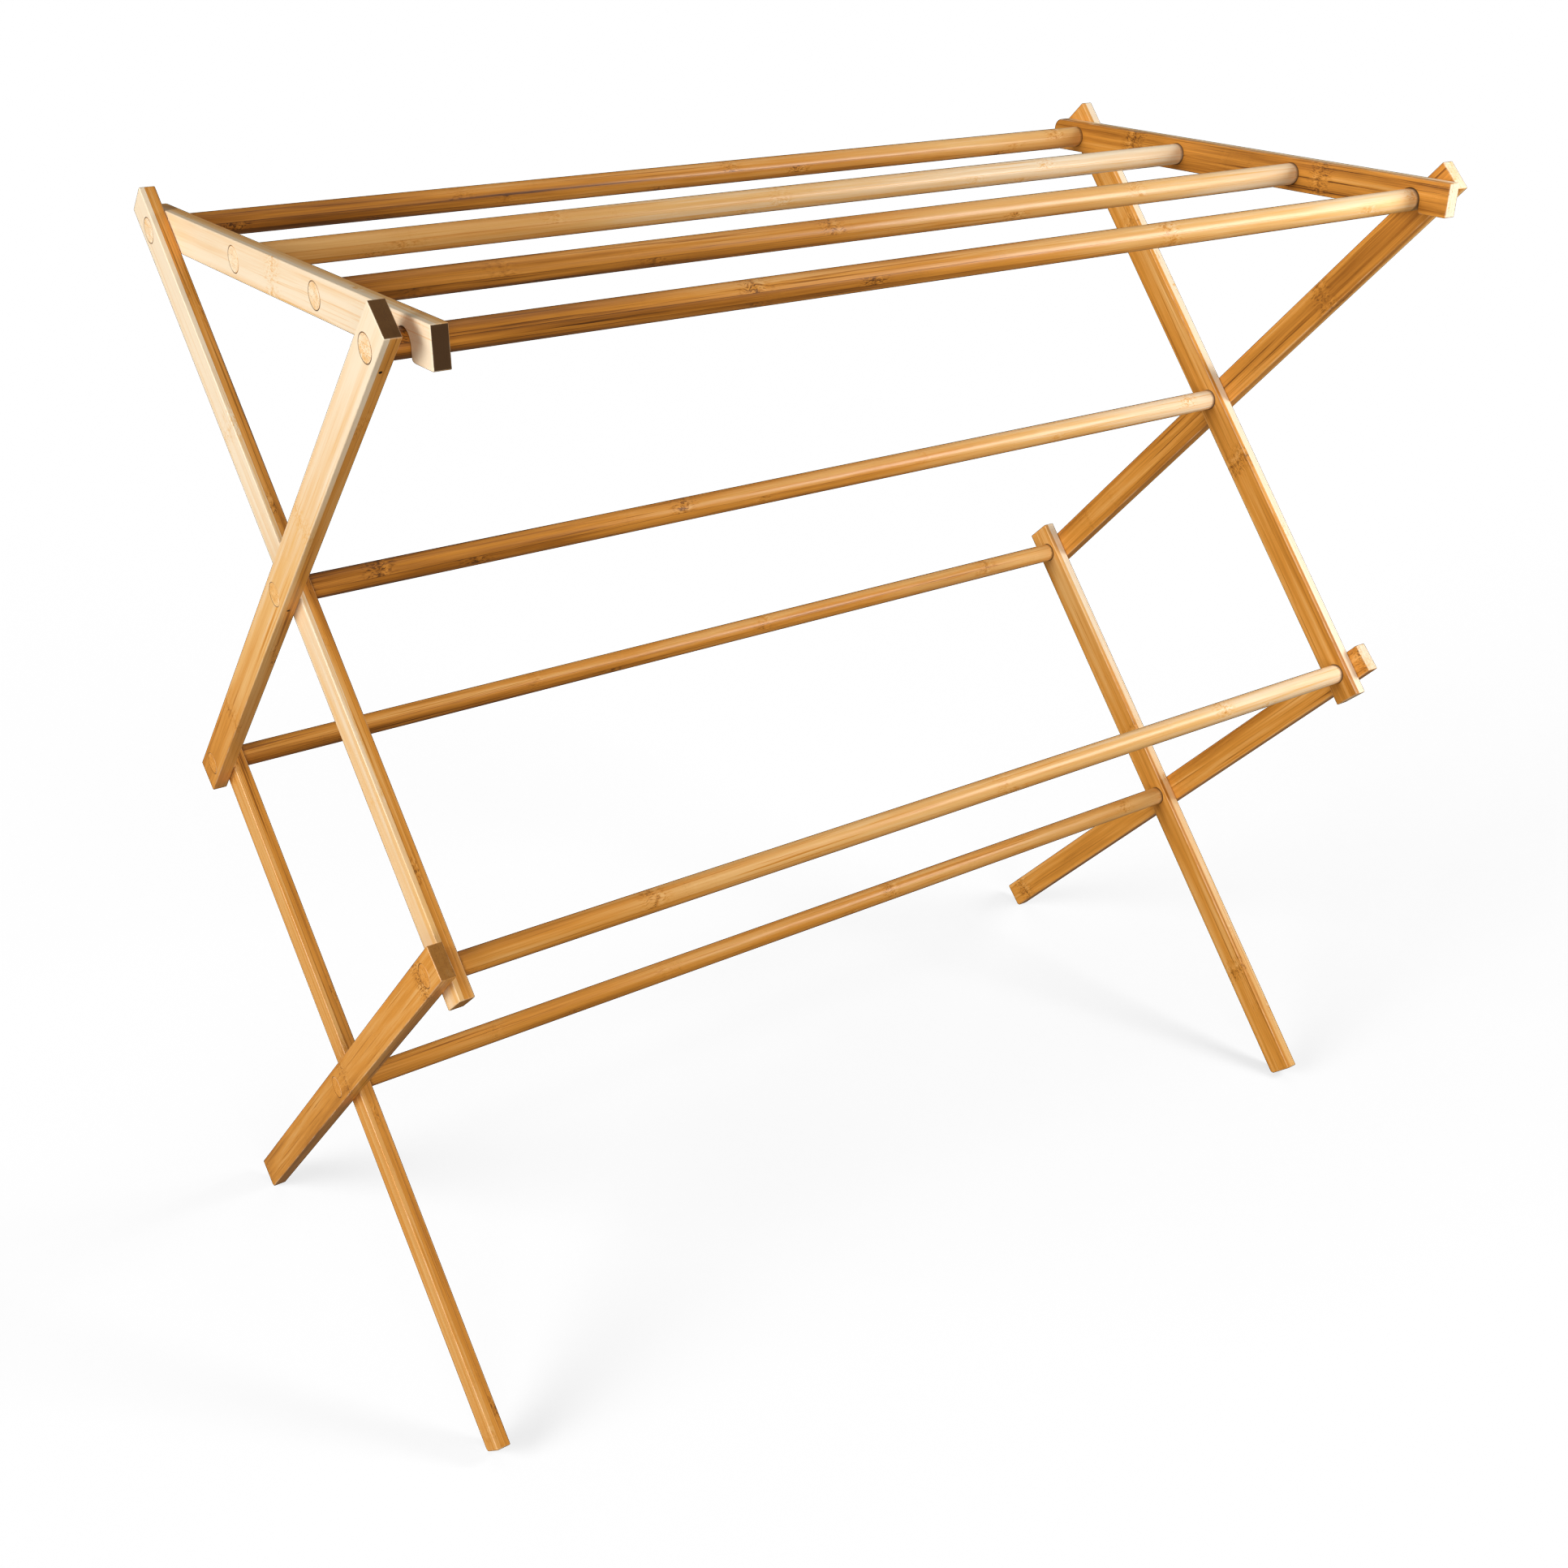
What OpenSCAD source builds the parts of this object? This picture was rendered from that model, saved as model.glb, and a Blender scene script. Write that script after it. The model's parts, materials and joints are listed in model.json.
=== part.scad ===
// Folding two-tier clothes drying rack.
// Two pairs of crossed legs a side, four folding frames and a flat top shelf.
// The back of the shelf turns on the top back rung and its front hooks
// down over the top front rung, which keeps the legs from spreading.
// X runs along the rungs, the front is -Y, Z is up and the floor is z = 0.
// Lengths are in millimetres and angles in degrees.

/* [Piece] */
// piece to show, or all of them

/* [Frame] */
// overall width over the outer legs
frame_w = 976; // [600:1:1200]
// distance between neighbouring rung holes along a leg
hole_pitch = 295; // [200:1:400]
// length of leg past its end hole
end_len = 27; // [18:1:50]
// lean of every leg from upright when the rack stands open
lean = 43; // [25:0.5:50]
// width of the small flat that each foot stands on
foot_flat = 3; // [1:0.5:6]

/* [Bars] */
// depth of the leg and rail bars, front to back
bar_w = 27; // [22:0.5:40]
// thickness of the leg and rail bars, side to side
bar_t = 12; // [8:0.5:20]

/* [Rungs] */
// diameter of every rung
rung_d = 18; // [12:0.5:20]

/* [Shelf] */
// rail length in front of its pivot
rail_front = 440; // [300:1:600]
// rail length behind its pivot
rail_back = 31.5; // [20:0.5:50]
// distance from the rail pivot to the first shelf rung
shelf_rung_1 = 135; // [80:1:200]
// distance from the rail pivot to the second shelf rung
shelf_rung_2 = 273; // [200:1:320]
// depth of the catch rung's centre below the rail's middle line
hook_drop = 4; // [2:0.5:6]
// rounding of the rail's back corners
rail_round = 9; // [4:0.5:12]
// rounding of the lips of the hook
lip_round = 3; // [1:0.5:4]
// how much the hook widens backwards for each millimetre down
hook_slant = 0.22; // [0.15:0.01:0.35]

/* [Fits] */
// sideways gap between bars that pass each other
side_play = 0.3; // [0.1:0.05:1]
// radial play of a rung that turns in its hole
pivot_play = 0.08; // [0.02:0.01:0.1]
// radial play of a rung or nail that is fixed in its hole
fixed_play = 0.02; // [0.01:0.01:0.05]
// radial play of the hook over its rung
hook_play = 0.3; // [0.2:0.05:0.6]

/* [Nails] */
// diameter of a nail's shank
nail_d = 1.6; // [1:0.1:2.5]
// diameter of a nail's head
nail_head_d = 2.4; // [1.5:0.1:4]
// thickness of a nail's head
nail_head_t = 0.8; // [0.4:0.1:1.5]
// length of a nail
nail_len = 18; // [14:0.5:24]
// how far the catch rung's nails sit down the leg from its centre
nail_slip_top = 6; // [0:0.5:7]
// how far the other nails sit down the leg from the rung's centre
nail_slip = 2; // [0:0.5:6]

/* [Hidden] */
facets = 96;
nail_facets = 32;
half_len = hole_pitch + end_len;
leg_len = 2 * half_len;
rung_r = rung_d / 2;
turn_r = rung_r + pivot_play;
hold_r = rung_r + fixed_play;
rise = hole_pitch * cos(lean);
reach = hole_pitch * sin(lean);
foot_trim = foot_flat * sin(lean) * cos(lean);
// heights of the two crossings, the middle rungs and the shelf rungs
low_z = half_len * cos(lean) + bar_w / 2 * sin(lean) - foot_trim;
mid_z = low_z + rise;
high_z = mid_z + rise;
top_z = high_z + rise;
// tilt that puts the catch rung below the rail's middle line
shelf_span = 2 * reach;
shelf_tilt = asin(hook_drop / shelf_span);
hook_y = -shelf_span * cos(shelf_tilt);
hook_r = rung_r + hook_play;
// moves the whole rack so that it is centred between its front and back ends
front_end = -rail_front * cos(shelf_tilt) - bar_w / 2 * sin(shelf_tilt);
back_end = rail_back * cos(shelf_tilt)
    + (bar_w / 2 - rail_round) * sin(shelf_tilt) + rail_round * (1 - cos(shelf_tilt));
mid_y = -reach - (front_end + back_end) / 2;
// the three layers of bars on one side, counted from the outside
outer_x = frame_w / 2 - bar_t;
inner_x = outer_x - side_play - bar_t;
rail_x = inner_x - side_play - bar_t;
inner_face = inner_x + bar_t;
rail_face = rail_x + bar_t;
big = 2 * leg_len;
// how far a cut runs past the faces it opens
over = 1;

// a hole or round bar along X, centred on x = 0
module round_x(r, len, sides = facets) {
    rotate([0, 90, 0])
        cylinder(r = r, h = len, center = true, $fn = sides);
}

// puts a frame's own middle hole at its crossing, leaning back or forward
module place(cross_z, way) {
    translate([0, mid_y, cross_z])
        rotate([-way * lean, 0, 0])
            children();
}

// one leg with its holes: r_top, r_mid and r_low, where 0 is no hole
module leg_bar(x0, r_top, r_mid, r_low) {
    difference() {
        translate([x0, -bar_w / 2, -half_len])
            cube([bar_t, bar_w, leg_len]);
        translate([x0 + bar_t / 2, 0, hole_pitch])
            round_x(r_top, bar_t + 2 * over);
        translate([x0 + bar_t / 2, 0, 0])
            round_x(r_mid, bar_t + 2 * over);
        if (r_low > 0)
            translate([x0 + bar_t / 2, 0, -hole_pitch])
                round_x(r_low, bar_t + 2 * over);
    }
}

// left edge of a bar that lies in the layer at x0 on the given side
function side_x(side, x0) = side > 0 ? x0 : -x0 - bar_t;

// a rung from -half to half, with its two nail holes
module rung(half, layer_x, way, slip) {
    difference() {
        round_x(rung_r, 2 * half);
        nail_pair(layer_x, 0, way, slip, fixed_play);
    }
}

// one nail driven along +Y, its head flush with the plane y = 0
module nail(play) {
    rotate([-90, 0, 0])
        cylinder(d = nail_d + 2 * play, h = nail_len + play, $fn = nail_facets);
    translate([0, -play, 0])
        rotate([-90, 0, 0])
            cylinder(d = nail_head_d + 2 * play, h = nail_head_t + 2 * play,
                $fn = nail_facets);
}

// the two nails of one rung, driven in from the front (way > 0) or the back
module nail_pair(layer_x, z0, way, slip, play) {
    for (side = [-1, 1])
        translate([side * (layer_x + bar_t / 2), -way * bar_w / 2, z0 - slip])
            rotate([0, 0, way > 0 ? 0 : 180])
                nail(play);
}

// everything above the floor
module above_floor() {
    difference() {
        children();
        translate([-frame_w, -big, -big])
            cube([2 * frame_w, 2 * big, big]);
    }
}

// the lower outer legs lean forward to the front rung
module lower_outer_leg(side) {
    above_floor()
        place(low_z, -1)
            difference() {
                leg_bar(side_x(side, outer_x), turn_r, hold_r, 0);
                nail_pair(outer_x, 0, -1, nail_slip, fixed_play);
            }
}

// the lower inner legs lean back to the back rung
module lower_inner_leg(side) {
    above_floor()
        place(low_z, 1)
            difference() {
                leg_bar(side_x(side, inner_x), hold_r, turn_r, 0);
                nail_pair(inner_x, hole_pitch, -1, nail_slip, fixed_play);
            }
}

// the upper inner legs lean back to the shelf pivot
module upper_inner_leg(side) {
    place(high_z, 1)
        difference() {
            leg_bar(side_x(side, inner_x), hold_r, turn_r, hold_r);
            nail_pair(inner_x, hole_pitch, -1, nail_slip, fixed_play);
            nail_pair(inner_x, -hole_pitch, -1, nail_slip, fixed_play);
        }
}

// the upper outer legs lean forward to the shelf's catch rung
module upper_outer_leg(side) {
    place(high_z, -1)
        difference() {
            leg_bar(side_x(side, outer_x), hold_r, hold_r, turn_r);
            nail_pair(outer_x, hole_pitch, 1, nail_slip_top, fixed_play);
            nail_pair(outer_x, 0, 1, nail_slip, fixed_play);
        }
}

// puts the shelf's own pivot on the top back rung, at its small tilt
module place_shelf() {
    translate([0, mid_y + reach, top_z])
        rotate([-shelf_tilt, 0, 0])
            children();
}

// what a rounded edge takes off a square corner at y0, z0
module corner_cut(x0, y0, z0, r, sy, sz) {
    translate([x0 + bar_t / 2, y0, z0])
        difference() {
            translate([-bar_t / 2 - over, sy > 0 ? -r : -over, sz > 0 ? -r : -over])
                cube([bar_t + 2 * over, r + over, r + over]);
            translate([0, -sy * r, -sz * r])
                round_x(r, bar_t + 4 * over);
        }
}

// the space the catch rung sits in and leaves by
module hook_space(x0) {
    low = -bar_w / 2 - over;
    fall = -hook_drop - low;
    translate([x0 + bar_t / 2, hook_y, -hook_drop])
        round_x(hook_r, bar_t + 2 * over);
    translate([x0 - over, hook_y, 0])
        rotate([90, 0, 90])
            linear_extrude(bar_t + 2 * over)
                polygon([
                    [-hook_r, -hook_drop],
                    [-hook_r, low],
                    [hook_r + fall * hook_slant, low],
                    [hook_r, -hook_drop]
                ]);
}

// one side rail of the shelf
module shelf_rail(side) {
    x0 = side_x(side, rail_x);
    edge = -bar_w / 2;
    back_lip = hook_y + hook_r - (hook_drop + edge + lip_round) * hook_slant;
    place_shelf()
        difference() {
            translate([x0, -rail_front, edge])
                cube([bar_t, rail_front + rail_back, bar_w]);
            translate([x0 + bar_t / 2, 0, 0])
                round_x(turn_r, bar_t + 2 * over);
            for (y = [shelf_rung_1, shelf_rung_2])
                translate([x0 + bar_t / 2, -y, 0])
                    round_x(hold_r, bar_t + 2 * over);
            hook_space(x0);
            corner_cut(x0, rail_back, bar_w / 2, rail_round, 1, 1);
            corner_cut(x0, rail_back, edge, rail_round, 1, -1);
            corner_cut(x0, hook_y - hook_r, edge, lip_round, 1, -1);
            corner_cut(x0, back_lip, edge, lip_round, -1, -1);
            shelf_nail_set(fixed_play);
        }
}

// the nails of the two shelf rungs, driven up from below
module shelf_nail_set(play) {
    for (y = [shelf_rung_1, shelf_rung_2])
        translate([0, -y, 0])
            rotate([90, 0, 0])
                nail_pair(rail_x, 0, 1, 0, play);
}

// a rung of the shelf, flush with the outer faces of the rails
module shelf_rung(y) {
    place_shelf()
        difference() {
            translate([0, -y, 0])
                round_x(rung_r, 2 * rail_face);
            shelf_nail_set(fixed_play);
        }
}

module left_lower_outer_leg() {
    color([0.80, 0.58, 0.33])
        lower_outer_leg(-1);
}

module right_lower_outer_leg() {
    color([0.80, 0.58, 0.33])
        lower_outer_leg(1);
}

module lower_cross_rung() {
    color([0.86, 0.66, 0.40])
        place(low_z, -1)
            rung(frame_w / 2, outer_x, -1, nail_slip);
}

module lower_outer_nails() {
    color([0.30, 0.28, 0.26])
        place(low_z, -1)
            nail_pair(outer_x, 0, -1, nail_slip, 0);
}

module left_lower_inner_leg() {
    color([0.80, 0.58, 0.33])
        lower_inner_leg(-1);
}

module right_lower_inner_leg() {
    color([0.80, 0.58, 0.33])
        lower_inner_leg(1);
}

module back_rung() {
    color([0.86, 0.66, 0.40])
        place(low_z, 1)
            translate([0, 0, hole_pitch])
                rung(frame_w / 2, inner_x, -1, nail_slip);
}

module lower_inner_nails() {
    color([0.30, 0.28, 0.26])
        place(low_z, 1)
            nail_pair(inner_x, hole_pitch, -1, nail_slip, 0);
}

module left_upper_inner_leg() {
    color([0.80, 0.58, 0.33])
        upper_inner_leg(-1);
}

module right_upper_inner_leg() {
    color([0.80, 0.58, 0.33])
        upper_inner_leg(1);
}

module front_rung() {
    color([0.86, 0.66, 0.40])
        place(high_z, 1)
            translate([0, 0, -hole_pitch])
                rung(frame_w / 2, inner_x, -1, nail_slip);
}

module shelf_pivot_rung() {
    color([0.86, 0.66, 0.40])
        place(high_z, 1)
            translate([0, 0, hole_pitch])
                rung(inner_face, inner_x, -1, nail_slip);
}

module upper_inner_nails() {
    color([0.30, 0.28, 0.26])
        place(high_z, 1)
            for (z = [hole_pitch, -hole_pitch])
                nail_pair(inner_x, z, -1, nail_slip, 0);
}

module left_upper_outer_leg() {
    color([0.80, 0.58, 0.33])
        upper_outer_leg(-1);
}

module right_upper_outer_leg() {
    color([0.80, 0.58, 0.33])
        upper_outer_leg(1);
}

module upper_cross_rung() {
    color([0.86, 0.66, 0.40])
        place(high_z, -1)
            rung(frame_w / 2, outer_x, 1, nail_slip);
}

module shelf_catch_rung() {
    color([0.86, 0.66, 0.40])
        place(high_z, -1)
            translate([0, 0, hole_pitch])
                rung(frame_w / 2, outer_x, 1, nail_slip_top);
}

module upper_outer_nails() {
    color([0.30, 0.28, 0.26])
        place(high_z, -1) {
            nail_pair(outer_x, hole_pitch, 1, nail_slip_top, 0);
            nail_pair(outer_x, 0, 1, nail_slip, 0);
        }
}

module left_shelf_rail() {
    color([0.84, 0.62, 0.36])
        shelf_rail(-1);
}

module right_shelf_rail() {
    color([0.84, 0.62, 0.36])
        shelf_rail(1);
}

module shelf_rung_back() {
    color([0.86, 0.66, 0.40])
        shelf_rung(shelf_rung_1);
}

module shelf_rung_front() {
    color([0.86, 0.66, 0.40])
        shelf_rung(shelf_rung_2);
}

module shelf_nails() {
    color([0.30, 0.28, 0.26])
        place_shelf()
            shelf_nail_set(0);
}

left_lower_outer_leg();
right_lower_outer_leg();
lower_cross_rung();
lower_outer_nails();
left_lower_inner_leg();
right_lower_inner_leg();
back_rung();
lower_inner_nails();
left_upper_inner_leg();
right_upper_inner_leg();
front_rung();
shelf_pivot_rung();
upper_inner_nails();
left_upper_outer_leg();
right_upper_outer_leg();
upper_cross_rung();
shelf_catch_rung();
upper_outer_nails();
left_shelf_rail();
right_shelf_rail();
shelf_rung_back();
shelf_rung_front();
shelf_nails();
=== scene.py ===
"""Bamboo clothes drying rack: rounded and drilled bars, rungs, nails and a white studio."""

import json
import math
import random

import bpy
from bpy.props import FloatProperty, FloatVectorProperty, PointerProperty
from mathutils import Matrix, Vector


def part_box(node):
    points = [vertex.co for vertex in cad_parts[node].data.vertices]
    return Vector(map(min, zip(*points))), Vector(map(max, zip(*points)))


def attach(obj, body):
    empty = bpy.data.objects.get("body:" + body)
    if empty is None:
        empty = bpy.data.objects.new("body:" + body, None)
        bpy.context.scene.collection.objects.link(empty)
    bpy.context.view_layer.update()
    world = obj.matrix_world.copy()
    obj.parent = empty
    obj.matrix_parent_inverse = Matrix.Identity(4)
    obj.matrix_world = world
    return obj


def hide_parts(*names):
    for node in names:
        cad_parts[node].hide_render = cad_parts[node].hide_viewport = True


bl_info = {
    "name": "Clothes drying rack",
    "version": (1, 0, 0),
    "blender": (4, 5, 0),
    "location": "3D View > Sidebar > Drying rack",
    "description": "Builds a folding bamboo drying rack round its packed frame",
    "category": "Add Mesh",
}

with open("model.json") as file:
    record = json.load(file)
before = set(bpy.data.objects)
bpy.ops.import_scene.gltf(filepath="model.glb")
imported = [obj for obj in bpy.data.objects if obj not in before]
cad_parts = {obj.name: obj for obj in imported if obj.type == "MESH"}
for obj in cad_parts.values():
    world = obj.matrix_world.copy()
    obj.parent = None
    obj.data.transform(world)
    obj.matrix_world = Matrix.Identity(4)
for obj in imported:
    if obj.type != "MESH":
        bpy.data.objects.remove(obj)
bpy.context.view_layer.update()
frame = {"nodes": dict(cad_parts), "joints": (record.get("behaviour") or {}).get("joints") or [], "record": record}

BODIES = frame["record"]["behaviour"]["bodies"]
JOINTS = {joint["name"]: Vector(joint["pos_m"]) for joint in frame["joints"]}
# the legs lean by the line from the front rung up to the upper crossing
RISE = JOINTS["upper_cross"] - JOINTS["fold"]
LEAN = math.atan2(RISE.y, RISE.z)
LEG_TURNS = {
    "lower_outer": Matrix.Rotation(LEAN, 4, "X"),
    "lower_inner": Matrix.Rotation(-LEAN, 4, "X"),
    "upper_inner": Matrix.Rotation(-LEAN, 4, "X"),
    "upper_outer": Matrix.Rotation(LEAN, 4, "X"),
}
WOOD = "_bamboo"  # a new piece is named after the CAD node that it stands for
NAIL_REACH = 0.03  # no two points of one nail are further apart than this
SNAP = 1e-5  # points closer to a plane than this lie in it
END_FACING = 0.8  # a face that points along the fibres by more than this is a cut end
RUNG_TWIST = 0.6  # a rung's strips are turned about its length by up to this, in radians

# sides of round shapes, and steps across rounded edges
ROUND_SIDES = 96
NAIL_SIDES = 32
EDGE_STEPS = 3
RIM_STEPS = 2
LIP_STEPS = 6
BACK_STEPS = 12
# edges flatter than the first are shaded smooth, and edges sharper than the second are rounded
SMOOTH_ANGLE = math.radians(40)
SHARP_ANGLE = math.radians(50)

# in a rail the fibres run front to back and the strips lie side by side across its thickness
RAIL_ORDER = Matrix(((1, 0, 0, 0), (0, 0, 1, 0), (0, 1, 0, 0), (0, 0, 0, 1)))
# in a rung the fibres run left to right and the strips lie one on another
RUNG_ORDER = Matrix(((0, 0, 1, 0), (0, 1, 0, 0), (1, 0, 0, 0), (0, 0, 0, 1)))

# how pale each piece's three strips are, where 0 is dark caramel, 0.5 is honey and 1 is cream.
# The strips go from left to right, or from bottom to top in a rung. The first row is the foot of
# a leg, the left end of a rung or the front of a rail, and the second row is its other end.
# These values hold painted light: strips on the sides that face the lamps are paler, and the rungs
# and several legs grow paler towards the right or the top, where the light is strongest.
STRIP_TONES_AND_LIGHT = {
    "left_lower_outer_leg": ((0.46, 0.46, 0.44), (0.52, 0.50, 0.48)),
    "right_lower_outer_leg": ((0.52, 0.48, 0.50), (0.50, 0.40, 0.46)),
    "left_lower_inner_leg": ((0.62, 0.54, 0.46), (0.58, 0.46, 0.44)),
    "right_lower_inner_leg": ((0.50, 0.60, 0.64), (0.58, 1.00, 1.00)),
    "left_upper_inner_leg": ((0.80, 0.52, 0.46), (1.00, 0.44, 0.40)),
    "right_upper_inner_leg": ((0.46, 0.98, 1.00), (0.58, 0.92, 1.00)),
    "left_upper_outer_leg": ((0.50, 0.58, 0.54), (0.98, 0.56, 0.52)),
    "right_upper_outer_leg": ((0.46, 0.44, 0.50), (0.40, 0.42, 0.66)),
    "left_shelf_rail": ((0.94, 0.82, 0.70), (0.94, 0.82, 0.70)),
    "right_shelf_rail": ((0.36, 0.88, 0.96), (0.36, 0.76, 0.90)),
    "lower_cross_rung": ((0.36, 0.44, 0.50), (0.62, 0.68, 0.66)),
    "back_rung": ((0.28, 0.34, 0.44), (0.62, 0.70, 0.68)),
    "front_rung": ((0.30, 0.42, 0.52), (0.80, 0.90, 0.88)),
    "shelf_pivot_rung": ((0.14, 0.22, 0.30), (0.68, 0.74, 0.78)),
    "upper_cross_rung": ((0.06, 0.16, 0.26), (0.80, 0.90, 0.92)),
    "shelf_catch_rung": ((0.06, 0.14, 0.24), (0.78, 0.88, 0.92)),
    "shelf_rung_back": ((0.52, 0.62, 0.66), (0.84, 0.92, 0.90)),
    "shelf_rung_front": ((0.08, 0.20, 0.32), (0.80, 0.88, 0.90)),
}

# how pale the cut ends are, on the same scale; the listed ends are painted pale, a painted highlight for the light
# that falls on them
END_TONES_AND_LIGHT = {
    "shelf_rung_back": 0.90,
    "shelf_rung_front": 0.90,
    "shelf_pivot_rung": 0.90,
    "shelf_catch_rung": 0.88,
    "upper_cross_rung": 0.72,
    "right_shelf_rail": 0.96,
    "right_upper_outer_leg": 0.90,
    "right_upper_inner_leg": 0.84,
    "right_lower_outer_leg": 0.92,
}
PLAIN_END = 0.50
# how dark the cut ends are made, from 0 to 1: a little real staining, and painted shade on the listed ends
END_STAIN_AND_SHADE = {
    "left_shelf_rail": 0.97,
    "left_upper_outer_leg": 0.90,
    "left_lower_outer_leg": 0.55,
    "left_upper_inner_leg": 0.35,
    "left_lower_inner_leg": 0.30,
}
PLAIN_STAIN = 0.08
RUNG_STAIN = 0.02


def centre_of(node):
    """The middle of a CAD node's box."""
    low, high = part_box(node)
    return (low + high) / 2


def radius_of(rung):
    """The radius of a rung's CAD node."""
    low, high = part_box(rung)
    return (high.z - low.z) / 2


def shelf_turn():
    """The small tilt of the shelf, from its pivot rung to the middle of its own rungs."""
    run = centre_of("shelf_rung_front") - centre_of("shelf_rung_back")
    return Matrix.Rotation(math.atan2(-run.z, -run.y), 4, "X")


def span(node, turn):
    """Lowest and highest corners of a CAD node once its turn is undone."""
    back = turn.inverted()
    points = [back @ v.co for v in frame["nodes"][node].data.vertices]
    low = Vector(min(p[i] for p in points) for i in range(3))
    high = Vector(max(p[i] for p in points) for i in range(3))
    return low, high


def nodes_with(word):
    """Every CAD node whose name holds the word, with its body."""
    return [(node, body) for body, nodes in BODIES.items() for node in nodes if word in node]


# ---------------------------------------------------------------- settings


class RackShape(bpy.types.PropertyGroup):
    """Small shapes that the frame leaves square."""

    edge_round: FloatProperty(
        name="Edge rounding", description="Rounding of the long edges and ends of the bars",
        default=0.0009, min=0.0002, max=0.003, precision=5, unit="LENGTH")
    rim_round: FloatProperty(
        name="Hole rim", description="Rounding of the rim of every drilled hole",
        default=0.0006, min=0.0001, max=0.001, precision=5, unit="LENGTH")
    rung_round: FloatProperty(
        name="Rung end rounding", description="Rounding of the ends of the rungs",
        default=0.0006, min=0.0001, max=0.002, precision=5, unit="LENGTH")
    hole_play: FloatProperty(
        name="Hole play", description="Gap all round a rung in its hole",
        default=0.00008, min=0.00002, max=0.0003, precision=6, unit="LENGTH")
    hook_play: FloatProperty(
        name="Hook play", description="Gap between a hook and its rung",
        default=0.0003, min=0.0001, max=0.001, precision=5, unit="LENGTH")
    hook_slant: FloatProperty(
        name="Hook slant", description="How much a hook widens backwards for its depth",
        default=0.22, min=0.15, max=0.35)
    lip_round: FloatProperty(
        name="Lip rounding", description="Rounding of the two lips of a hook",
        default=0.003, min=0.001, max=0.004, precision=4, unit="LENGTH")
    back_round: FloatProperty(
        name="Back corner rounding", description="Rounding of the two back corners of a rail",
        default=0.009, min=0.004, max=0.012, precision=4, unit="LENGTH")
    nail_gap: FloatProperty(
        name="Nail gap", description="Gap round a nail's head",
        default=0.0001, min=0.00003, max=0.0005, precision=6, unit="LENGTH")
    nail_depth: FloatProperty(
        name="Nail depth", description="Depth of the wood pressed in round a nail",
        default=0.001, min=0.0003, max=0.003, precision=5, unit="LENGTH")


class RackBamboo(bpy.types.PropertyGroup):
    """Colours and figure of the bamboo."""

    pale: FloatVectorProperty(
        name="Pale fibre", description="Colour between the fibres",
        default=(0.93, 0.79, 0.60), size=3, min=0, max=1, subtype="COLOR")
    gold: FloatVectorProperty(
        name="Golden fibre", description="Colour of the fibres between pale and honey",
        default=(0.84, 0.50, 0.185), size=3, min=0, max=1, subtype="COLOR")
    honey: FloatVectorProperty(
        name="Honey fibre", description="Main colour of the strips",
        default=(0.70, 0.295, 0.042), size=3, min=0, max=1, subtype="COLOR")
    brown: FloatVectorProperty(
        name="Brown fibre", description="Colour of the dark strips",
        default=(0.38, 0.135, 0.012), size=3, min=0, max=1, subtype="COLOR")
    # the umber also colours the painted shade in holes and hooks and where rungs enter
    umber: FloatVectorProperty(
        name="Umber fibre", description="Colour of the darkest fibres and of the knuckles",
        default=(0.11, 0.035, 0.004), size=3, min=0, max=1, subtype="COLOR")
    # the fibre end colour is also the colour of the painted shade on cut ends
    end_dark: FloatVectorProperty(
        name="End grain", description="Colour of the fibre ends",
        default=(0.050, 0.021, 0.003), size=3, min=0, max=1, subtype="COLOR")
    knuckle_gap: FloatProperty(
        name="Knuckle distance", description="Distance between the knuckles of one strip",
        default=0.29, min=0.1, max=0.5, unit="LENGTH")
    # the dark line round a rung's entry is a painted contact shadow
    joint_shade_line: FloatProperty(
        name="Joint line", description="Width of the dark line round a rung where it enters a bar",
        default=0.006, min=0.0005, max=0.01, precision=4, unit="LENGTH")
    gloss: FloatProperty(
        name="Roughness", description="Roughness of the lacquer",
        default=0.36, min=0.1, max=0.9)


class RackMetal(bpy.types.PropertyGroup):
    """The nails."""

    steel: FloatVectorProperty(
        name="Steel", description="Colour of the nail heads",
        default=(0.055, 0.043, 0.035), size=3, min=0, max=1, subtype="COLOR")


class RackStudio(bpy.types.PropertyGroup):
    """Floor, light and camera."""

    floor: FloatVectorProperty(
        name="Floor", description="Colour of the floor",
        default=(0.94, 0.94, 0.945), size=3, min=0, max=1, subtype="COLOR")
    floor_half: FloatProperty(
        name="Floor size", description="Half the side of the floor",
        default=30.0, min=2, max=100, unit="LENGTH")
    glow: FloatProperty(
        name="Floor glow", description="Light that the floor adds of its own, to keep it white",
        default=1.6, min=0, max=5)
    sky: FloatProperty(
        name="Sky light", description="Strength of the even light from all round",
        default=0.15, min=0, max=5)
    left: FloatProperty(
        name="Left light", description="Power of the far soft light on the left",
        default=375.0, min=0, max=2000, unit="POWER")
    right: FloatProperty(
        name="Right light", description="Power of the near soft light in front on the right",
        default=11.0, min=0, max=500, unit="POWER")
    front: FloatProperty(
        name="Front light", description="Power of the far soft light in front",
        default=68.0, min=0, max=500, unit="POWER")
    top: FloatProperty(
        name="Top light", description="Power of the wide soft light above",
        default=4.0, min=0, max=500, unit="POWER")
    lens: FloatProperty(
        name="Lens", description="Focal length in millimetres",
        default=42.86, min=20, max=100)


GROUPS = {
    "rack_shape": RackShape, "rack_bamboo": RackBamboo,
    "rack_metal": RackMetal, "rack_studio": RackStudio,
}


# ---------------------------------------------------------------- making by hand


def start_clean():
    """Object mode with nothing selected."""
    if bpy.context.object and bpy.context.object.mode != "OBJECT":
        bpy.ops.object.mode_set(mode="OBJECT")
    bpy.ops.object.select_all(action="DESELECT")


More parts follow.
